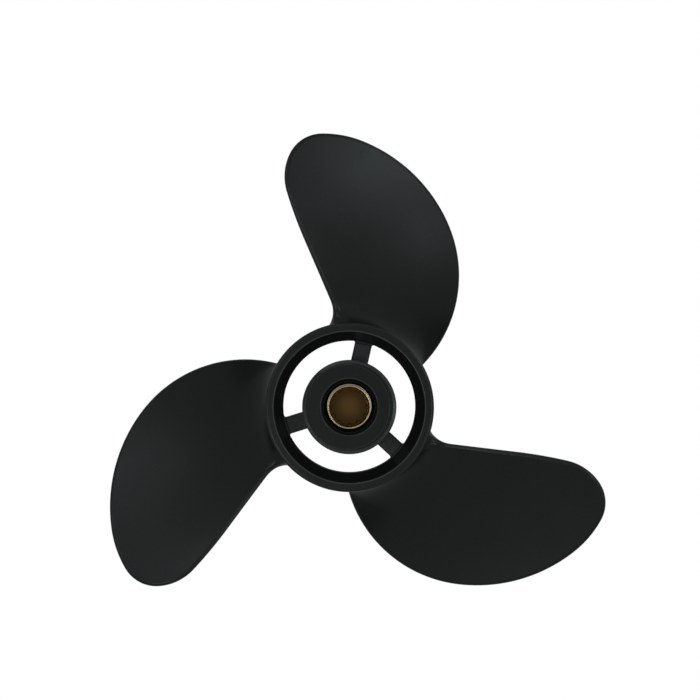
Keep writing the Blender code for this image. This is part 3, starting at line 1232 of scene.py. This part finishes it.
@dataclass(frozen=True)
class Blades:
    """Three blades: helical faces, cambered forward, with rounded edges and root fillets.

    The fillet is face_fillet high, and turns to trailing_fillet and leading_fillet at the ends of
    the chord: the larger a fade is, the nearer to the end. Amid the chord it is wider than high
    by the share fillet_stretch. It starts fillet_sink inside the barrel's surface, and the root
    ends overlap inside. Columns crowd towards the edges by the share crowding.
    """

    outline: BladeOutline = field(default_factory=BladeOutline)
    count: int = 3
    pitch: float = 7.0 * INCH
    rake: float = math.radians(5.0)
    barrel_radius: float = 28.2 * MM
    datum_height: float = 42.0 * MM
    root_thickness: float = 7.6 * MM
    tip_thickness: float = 2.4 * MM
    root_edge: float = 1.8 * MM
    tip_edge: float = 2.4 * MM
    face_fillet: float = 8.0 * MM
    trailing_fillet: float = 11.0 * MM
    leading_fillet: float = 4.0 * MM
    trailing_fade: float = 4.0
    leading_fade: float = 10.0
    fillet_stretch: float = 0.6
    fillet_sink: float = 0.1 * MM
    overlap: float = 0.8 * MM
    rungs: int = 600
    columns: int = 80
    crowding: float = 0.4
    fillet_rows: int = 14
    span_rows: int = 70

    def settings(self) -> dict[str, float | int]:
        """Lists the tree's named inputs.

        Returns:
            Their names and values.
        """
        return {
            "Blade Count": self.count,
            "Pitch": self.pitch,
            "Rake": self.rake,
            "Tip Radius": self.outline.tip_radius,
            "Barrel Radius": self.barrel_radius,
            "Datum Height": self.datum_height,
            "Root Thickness": self.root_thickness,
            "Tip Thickness": self.tip_thickness,
            "Root Edge": self.root_edge,
            "Tip Edge": self.tip_edge,
            "Face Fillet": self.face_fillet,
            "Trailing Fillet": self.trailing_fillet,
            "Leading Fillet": self.leading_fillet,
            "Columns": self.columns,
            "Fillet Rows": self.fillet_rows,
            "Span Rows": self.span_rows,
        }

    def edge_bearing(self, sheet: NodeSheet, lines: Feed, radius: Value, tip: Feed,
                     first: int) -> Value:
        """Reads the bearing of an edge at a radius.

        Args:
            sheet: the tree.
            lines: the edge lines.
            radius: where to read.
            tip: tip radius.
            first: place of the edge's first point.

        Returns:
            The bearing.
        """
        foot = self.barrel_radius - self.fillet_sink
        share = 1.0 - ((tip - radius) / (tip - foot)).most(0.0).root()
        place = share * (self.rungs - 1)
        lower = place.floor().most(0.0).least(self.rungs - 2)
        x, y, _ = sheet.parts(sheet.add("GeometryNodeInputPosition").outputs[0])
        bearing = sheet.maths("ARCTAN2", x, y)
        ends = [sheet.value(sheet.add("GeometryNodeSampleIndex", {
            "Geometry": lines, "Value": bearing, "Index": lower + float(first + step)}))
            for step in (0, 1)]
        return ends[0].towards(ends[1], place - lower)

    def tree(self) -> bpy.types.NodeTree:
        """Writes the tree: a grid wrapped round one blade, repeated round the axis.

        A column runs from root to tip at a share of the chord, first on the aft and then on the
        forward side, and a row is a section. Row 0 closes the root, row 1 is the sunk end of the
        overlap, and row 2 is the foot of the fillet.

        Returns:
            The Geometry Nodes tree.
        """
        sheet = NodeSheet.group("Helical Blades", TreeKind.GEOMETRY)
        lines = sheet.inlet("Edge Lines", Kind.GEOMETRY)
        named = sheet.inlets(self.settings())
        finish = sheet.inlet("Finish", Kind.MATERIAL)
        tip = named["Tip Radius"]
        fillet_rows = named["Fillet Rows"]
        foot = named["Barrel Radius"] - self.fillet_sink
        row_count = fillet_rows + named["Span Rows"] + 3.0
        column_count = named["Columns"] * 2.0 + 1.0
        grid = sheet.add("GeometryNodeMeshGrid", {
            "Size X": 1.0, "Size Y": 1.0, "Vertices X": column_count, "Vertices Y": row_count})
        index = sheet.value(sheet.add("GeometryNodeInputIndex"))
        column = ((index + 0.5) / row_count).floor()
        row = index - column * row_count

        turn = column / named["Columns"]
        side = sheet.maths("SIGN", 1.0 - turn)
        across = 1.0 - (turn - 1.0).size()
        across = across - (across * math.tau).sine() * (self.crowding / math.tau)
        share = 0.5 - (across * math.pi).cosine() * 0.5
        size = (named["Face Fillet"]
                + (named["Trailing Fillet"] - named["Face Fillet"])
                * (1.0 - share) ** self.trailing_fade
                + (named["Leading Fillet"] - named["Face Fillet"]) * share ** self.leading_fade)
        reach = size * (share * (1.0 - share) * 4.0 * self.fillet_stretch + 1.0)
        rise = (row - 2.0).most(0.0)
        angle = (1.0 - (rise / fillet_rows).clamped()) * (math.pi / 2)
        to_tip = 1.0 - ((rise - fillet_rows) / named["Span Rows"]).clamped()
        radius = tip - (tip - foot - reach) * to_tip * to_tip - reach * angle.sine()
        flare = size * (1.0 - angle.cosine())

        trailing = self.edge_bearing(sheet, lines, radius, tip, 0)
        leading = self.edge_bearing(sheet, lines, radius, tip, self.rungs)
        chord = (leading - trailing) * radius
        span_share = (radius - named["Barrel Radius"]) / (tip - named["Barrel Radius"])
        thickness = named["Root Thickness"].towards(named["Tip Thickness"], span_share)
        edge = named["Root Edge"].towards(named["Tip Edge"], span_share)
        inset = (edge / 2.0).least(chord / 4.0).most(LEAST_INSET)
        along = share * chord
        outward = 1.0 - (along.least(chord - along) / inset).clamped()
        nearer_edge = sheet.maths("SIGN", share - 0.5)
        bearing = trailing + along / radius
        plan = sheet.polar(radius, bearing, 0.0)
        near = sheet.add("GeometryNodeProximity", {0: lines, "Sample Position": plan},
                         target_element="EDGES")
        depth = sheet.value(near, "Distance")
        short = (1.0 - depth * 2.0 / edge).most(0.0)
        fullness = (1.0 - short * short).root()
        off_middle = share * 2.0 - 1.0
        camber = (thickness - edge) * (1.0 - off_middle * off_middle)
        offset = side * edge / 2.0 - camber * (1.0 - side) / 2.0
        lift = row.least(1.0)
        normal_part = (offset * fullness
                       + side * (1.0 - outward * outward).root() * flare) * lift
        chord_part = nearer_edge * outward * flare * lift
        slope = sheet.maths("ARCTAN2", named["Pitch"], radius * math.tau)
        round_part = normal_part * slope.sine() + chord_part * slope.cosine()
        height_part = normal_part * slope.cosine() - chord_part * slope.sine()
        height = (named["Datum Height"] - named["Pitch"] * bearing / math.tau
                  + sheet.maths("TANGENT", named["Rake"]) * (radius - named["Barrel Radius"]))
        sunk = (1.0 - (row - 1.0).clamped()) * (self.overlap - self.fillet_sink)
        moved = sheet.add("GeometryNodeSetPosition", {
            "Geometry": grid.outputs[0],
            "Position": sheet.polar(radius - sunk, bearing + round_part / radius,
                                    height + height_part)})
        closed = sheet.add("GeometryNodeMergeByDistance", {
            "Geometry": moved.outputs[0], "Distance": MERGE_DISTANCE})
        repeat_round(sheet, closed.outputs[0], named["Blade Count"], 0.0, finish)
        return sheet.tree

    def build(self, finish: bpy.types.Material) -> bpy.types.Object:
        """Builds the three blades.

        Args:
            finish: their material.

        Returns:
            An object with all of them.
        """
        lines = self.outline.edge_lines(self.barrel_radius - self.fillet_sink, self.rungs)
        made = with_geometry("blade_forms", lines, self.tree(),
                             {**self.settings(), "Finish": finish})
        face_outwards(made.data)
        return made


@dataclass(frozen=True)
class Casting:
    """The aluminium casting: barrel, hub, ribs and blades in one piece."""

    barrel: Barrel = field(default_factory=Barrel)
    hub: Hub = field(default_factory=Hub)
    blades: Blades = field(default_factory=Blades)
    sharpest_bend: float = 0.45 * MM

    def build(self, finish: bpy.types.Material) -> bpy.types.Object:
        """Builds the casting and dresses it.

        Args:
            finish: the paint.

        Returns:
            The piece, which stands for the CAD casting.
        """
        body, blades = self.barrel.build(), self.blades.build(finish)
        for slot, piece in enumerate((body, blades)):
            fill_slots(piece.data, finish, count=2, used=slot)
        tools = [self.hub.build(), Ribs(self.hub, self.barrel).build(finish), blades]
        for tool in tools:
            tool.hide_render = True
            union = body.modifiers.new(f"with_{tool.name}", "BOOLEAN")
            union.operation = "UNION"
            union.solver = "EXACT"
            union.object = tool
        made = plain_mesh(body, "painted_casting")
        for tool in tools:
            bpy.data.objects.remove(tool, do_unlink=True)
        shade(made.data)
        part_at_seams(made.data)
        fill_slots(made.data, finish, count=1, used=0)
        mark_bends(made.data, self.sharpest_bend)
        return declare(made, "propeller_casting")


# The inserts


@dataclass(frozen=True)
class RubberBush:
    """Rubber ring pressed into the hub round the sleeve."""

    inner_radius: float = 8.35 * MM
    outer_radius: float = 11.9 * MM
    forward: float = 14.0 * MM
    aft: float = 49.7 * MM
    inner_round: float = 0.35 * MM
    outer_round: float = 0.8 * MM
    round_steps: int = 6
    segments: int = 160

    def build(self, finish: bpy.types.Material) -> bpy.types.Object:
        """Builds the ring and dresses it.

        Args:
            finish: the rubber.

        Returns:
            The piece, which stands for the CAD bush.
        """
        section = rounded([
            Corner(self.inner_radius, self.forward, self.inner_round),
            Corner(self.outer_radius, self.forward, self.outer_round),
            Corner(self.outer_radius, self.aft, self.outer_round),
            Corner(self.inner_radius, self.aft, self.inner_round),
        ], self.round_steps)
        made = new_object("moulded_bush", turned("moulded_bush", lambda _: section, self.segments))
        made.data.materials.append(finish)
        shade(made.data)
        return declare(made, "rubber_bush")


@dataclass(frozen=True)
class SplinedSleeve:
    """Brass sleeve with a plain counterbore aft and splines for the shaft."""

    forward: float = 12.4 * MM
    aft: float = 54.4 * MM
    radius: float = 7.82 * MM
    chamfer: float = 0.3 * MM
    outer_round: float = 0.15 * MM
    inner_round: float = 0.4 * MM
    counterbore: float = 7.14 * MM
    counterbore_foot: float = 6.82 * MM
    minor_radius: float = 6.2 * MM
    major_radius: float = 6.75 * MM
    spline_aft: float = 38.0 * MM
    lead_in: float = 0.38 * MM
    spline_count: int = 12
    tip_share: float = 1.0 / 3.0
    foot_share: float = 0.5
    faces_per_spline: int = 24
    round_steps: int = 6
    bore_margin: float = 0.01 * MM
    sharpest_bend: float = 0.25 * MM

    def section(self) -> list[Point]:
        """Draws the sleeve's section, with the bore at the splines' feet.

        Returns:
            Its points (radius, height).
        """
        bore = self.major_radius
        return rounded([
            Corner(bore, self.forward + self.chamfer),
            Corner(bore + self.chamfer, self.forward),
            Corner(self.radius - self.chamfer, self.forward),
            Corner(self.radius, self.forward + self.chamfer),
            Corner(self.radius, self.aft, self.outer_round),
            Corner(self.counterbore, self.aft, self.inner_round),
            Corner(self.counterbore_foot, self.spline_aft),
            Corner(bore, self.spline_aft),
            Corner(bore, self.spline_aft - self.lead_in / 2),
            Corner(bore, self.spline_aft - self.lead_in),
            Corner(bore, self.forward + self.lead_in + self.chamfer),
        ], self.round_steps)

    def settings(self) -> dict[str, float | int]:
        """Lists the tree's named inputs.

        Returns:
            Their names and values.
        """
        return {
            "Spline Count": self.spline_count,
            "Spline Depth": self.major_radius - self.minor_radius,
            "Tip Share": self.tip_share,
            "Foot Share": self.foot_share,
        }

    def tree(self) -> bpy.types.NodeTree:
        """Writes the tree that draws the splines in from the bore.

        Returns:
            The Geometry Nodes tree.
        """
        sheet = NodeSheet.group("Inner Splines", TreeKind.GEOMETRY)
        tube = sheet.inlet("Tube", Kind.GEOMETRY)
        count, deep, tip_share, foot_share = sheet.inlets(self.settings()).values()
        finish = sheet.inlet("Finish", Kind.MATERIAL)
        x, y, z = sheet.parts(sheet.add("GeometryNodeInputPosition").outputs[0])
        radius = (x * x + y * y).root()
        bearing = sheet.maths("ARCTAN2", x, y)
        turn = bearing / math.tau * count
        off_tip = (turn - sheet.maths("ROUND", turn)).size() * 2.0
        tooth = ((foot_share - off_tip) / (foot_share - tip_share)).clamped()
        from_ends = (self.spline_aft - z).least(z - self.forward)
        ramp = (from_ends / self.lead_in).clamped()
        in_bore = sheet.maths("LESS_THAN", radius, self.major_radius + self.bore_margin)
        drawn = radius - deep * tooth * ramp * in_bore
        moved = sheet.add("GeometryNodeSetPosition", {
            "Geometry": tube, "Position": sheet.polar(drawn, bearing, z)})
        dress(sheet, moved.outputs[0], finish)
        return sheet.tree

    def build(self, finish: bpy.types.Material) -> bpy.types.Object:
        """Builds the sleeve and dresses it.

        Args:
            finish: the brass.

        Returns:
            The piece, which stands for the CAD sleeve.
        """
        section = self.section()
        tube = turned("sleeve_tube", lambda _: section, self.spline_count * self.faces_per_spline)
        made = with_geometry("turned_sleeve", tube, self.tree(),
                             {**self.settings(), "Finish": finish})
        shade(made.data)
        mark_bends(made.data, self.sharpest_bend)
        return declare(made, "splined_sleeve")


def declare(piece: bpy.types.Object, node: str) -> bpy.types.Object:
    """Tells the frame what a finished piece stands for.

    Args:
        piece: the piece.
        node: the CAD node that it replaces.

    Returns:
        The piece.
    """
    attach(piece, BODY)
    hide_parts(node)
    triangles = sum(len(polygon.vertices) - 2 for polygon in piece.data.polygons)
    LOG.info("%s stands for %s with %d triangles", piece.name, node, triangles)
    return piece


# The studio


@dataclass(frozen=True)
class Softbox:
    """A square soft lamp that looks at the propeller."""

    name: str
    bearing_degrees: float
    zenith_degrees: float
    width: float
    brightness: float
    colour: Colour = COOL_WHITE
    distance: float = 1.0
    target: tuple[float, float, float] = (0.0, 0.0, 45.0 * MM)

    def build(self) -> bpy.types.Object:
        """Builds the lamp.

        Returns:
            The lamp.
        """
        lamp = bpy.data.lights.new(self.name, "AREA")
        lamp.shape = "RECTANGLE"
        lamp.size = lamp.size_y = self.width
        lamp.energy = self.brightness * math.pi * self.width * self.width
        lamp.color = self.colour
        made = new_object(self.name, lamp)
        zenith = math.radians(self.zenith_degrees)
        away = Vector(polar(math.sin(zenith), math.radians(self.bearing_degrees),
                            math.cos(zenith)))
        made.location = Vector(self.target) + away * self.distance
        made.rotation_euler = away.to_track_quat("Z", "Y").to_euler()
        made.visible_camera = False
        return made


@dataclass(frozen=True)
class Floor:
    """Pale paper that the propeller stands on.

    It is white to the camera, painted with brown shade where the camera sees it through the
    sleeve's bore, and clear from below.
    Paper in the gap between hub and barrel glows, and so does a band round the propeller in its
    reflections.
    """

    half_width: float = 2.2
    colour: Colour = (0.80, 0.80, 0.80)
    roughness: float = 0.9
    shine: float = 0.1
    fibres_per_metre: float = 600.0
    fibre_share: float = 0.02
    fibre_tone: float = 0.97
    gap_glow: float = 0.080
    gap_start: Band = (10.0 * MM, 12.0 * MM)
    gap_end: Band = (26.6 * MM, 27.6 * MM)
    table_glow: float = 0.25
    table_start: Band = (28.0 * MM, 34.0 * MM)
    table_end: Band = (90.0 * MM, 160.0 * MM)
    # painted shade seen through the sleeve's bore, brown as if tinted by the brass around it
    bore_painted_shade_tone: Colour = (0.060, 0.034, 0.0118)
    bore_edge_painted_shade_tone: Colour = (0.030, 0.0165, 0.0060)
    bore_shade: Band = (1.0 * MM, 6.4 * MM)
    bore_end: Band = (8.0 * MM, 9.0 * MM)

    def material(self) -> bpy.types.Material:
        """Builds the paper.

        Returns:
            The material.
        """
        made, sheet, shader = start_material("pale_paper")
        shader.inputs["Roughness"].default_value = self.roughness
        shader.inputs["Specular IOR Level"].default_value = self.shine
        x, y, _ = sheet.parts(sheet.add("ShaderNodeTexCoord").outputs["Object"])
        radius = (x * x + y * y).root()
        fibre = (Effects.noise(sheet, self.fibres_per_metre, detail=3.0) - 0.5) * self.fibre_share
        darker = tuple(self.fibre_tone * channel for channel in self.colour)
        sheet.join(mixed(sheet, fibre + 0.5, darker, self.colour), shader.inputs["Base Color"])
        # painted shade: brown, darker towards the bore's wall, shown to the camera through the
        # sleeve's bore
        tone = mixed(sheet, radius.smooth(*self.bore_shade), self.bore_painted_shade_tone, self.bore_edge_painted_shade_tone)
        seen = mixed(sheet, 1.0 - radius.smooth(*self.bore_end), WHITE, tone)
        white = sheet.add("ShaderNodeEmission", {"Color": seen})
        path = sheet.add("ShaderNodeLightPath")
        gap = radius.smooth(*self.gap_start) * (1.0 - radius.smooth(*self.gap_end))
        table = (sheet.value(path, "Is Glossy Ray") * radius.smooth(*self.table_start)
                 * (1.0 - radius.smooth(*self.table_end)))
        sheet.join(rgba(WHITE), shader.inputs["Emission Color"])
        sheet.join(gap * self.gap_glow + table * self.table_glow,
                   shader.inputs["Emission Strength"])
        above = sheet.add("ShaderNodeMixShader", {
            0: path.outputs["Is Camera Ray"], 1: shader.outputs[0], 2: white.outputs[0]})
        clear = sheet.add("ShaderNodeBsdfTransparent")
        below = sheet.add("ShaderNodeNewGeometry").outputs["Backfacing"]
        paper = sheet.add("ShaderNodeMixShader", {
            0: below, 1: above.outputs[0], 2: clear.outputs[0]})
        sheet.join(paper.outputs[0], made.node_tree.nodes["Material Output"].inputs["Surface"])
        return made

    def build(self) -> bpy.types.Object:
        """Builds the floor.

        Returns:
            The floor.
        """
        half = self.half_width
        mesh = bpy.data.meshes.new("paper_floor")
        mesh.from_pydata([(-half, -half, 0.0), (half, -half, 0.0), (half, half, 0.0),
                          (-half, half, 0.0)], [], [(0, 1, 2, 3)])
        made = new_object("paper_floor", mesh)
        mesh.materials.append(self.material())
        return made


@dataclass(frozen=True)
class Studio:
    """Floor, lamps, surroundings and camera."""

    surround: float = 0.245
    lens: float = 102.29
    sensor_width: float = 36.0
    clip: Band = (0.05, 20.0)
    camera_place: tuple[float, float, float] = (0.0, 5.44 * MM, 766.0 * MM)
    camera_tilt_degrees: tuple[float, float] = (1.205, -0.02)
    lamps: tuple[Softbox, ...] = (
        Softbox("key_softbox", 95.0, 32.0, width=0.14, brightness=4.75),
        Softbox("key_tail", 114.0, 44.0, width=0.13, brightness=2.1),
        Softbox("far_softbox", 340.0, 32.0, width=0.13, brightness=1.69),
        Softbox("far_tail", 345.0, 42.0, width=0.13, brightness=1.14),
        Softbox("left_softbox", 300.0, 42.0, width=0.13, brightness=4.2),
        Softbox("low_softbox", 60.0, 55.0, width=0.15, brightness=4.85),
        Softbox("overhead_softbox", 240.0, 22.0, width=0.18, brightness=4.7),
    )

    def build(self) -> None:
        """Builds the studio."""
        bpy.context.scene.view_settings.view_transform = "Standard"
        Floor().build()
        for lamp in self.lamps:
            lamp.build()
        self.surroundings()
        self.camera()
        LOG.info("studio with %d lamps", len(self.lamps))

    def surroundings(self) -> None:
        """Makes the room dim and cool for the propeller, and white behind it."""
        world = bpy.data.worlds.new("pale_room")
        bpy.context.scene.world = world
        world.use_nodes = True
        sheet = NodeSheet(world.node_tree)
        background = world.node_tree.nodes["Background"]
        camera = sheet.value(sheet.add("ShaderNodeLightPath"), "Is Camera Ray")
        strength = camera * (1.0 - self.surround) + self.surround
        sheet.join(strength, background.inputs["Strength"])
        sheet.join(mixed(sheet, camera, COOL_WHITE, WHITE), background.inputs["Color"])

    def camera(self) -> None:
        """Puts the camera over the propeller, at the photograph's distance and tilt."""
        lens = bpy.data.cameras.new("camera")
        lens.lens = self.lens
        lens.sensor_width = self.sensor_width
        lens.clip_start, lens.clip_end = self.clip
        made = new_object("camera", lens)
        made.location = self.camera_place
        made.rotation_euler = (*(math.radians(tilt) for tilt in self.camera_tilt_degrees), 0.0)
        bpy.context.scene.camera = made


def main() -> None:
    """Builds the propeller's pieces in order, and the studio round them."""
    logging.basicConfig(level=logging.INFO, format="%(name)s: %(message)s")
    effects = Effects()
    Casting().build(CastPaint(effects).material())
    RubberBush().build(MouldedRubber(effects).material())
    SplinedSleeve().build(TurnedBrass(effects).material())
    Studio().build()


if __name__ == "__main__":
    main()
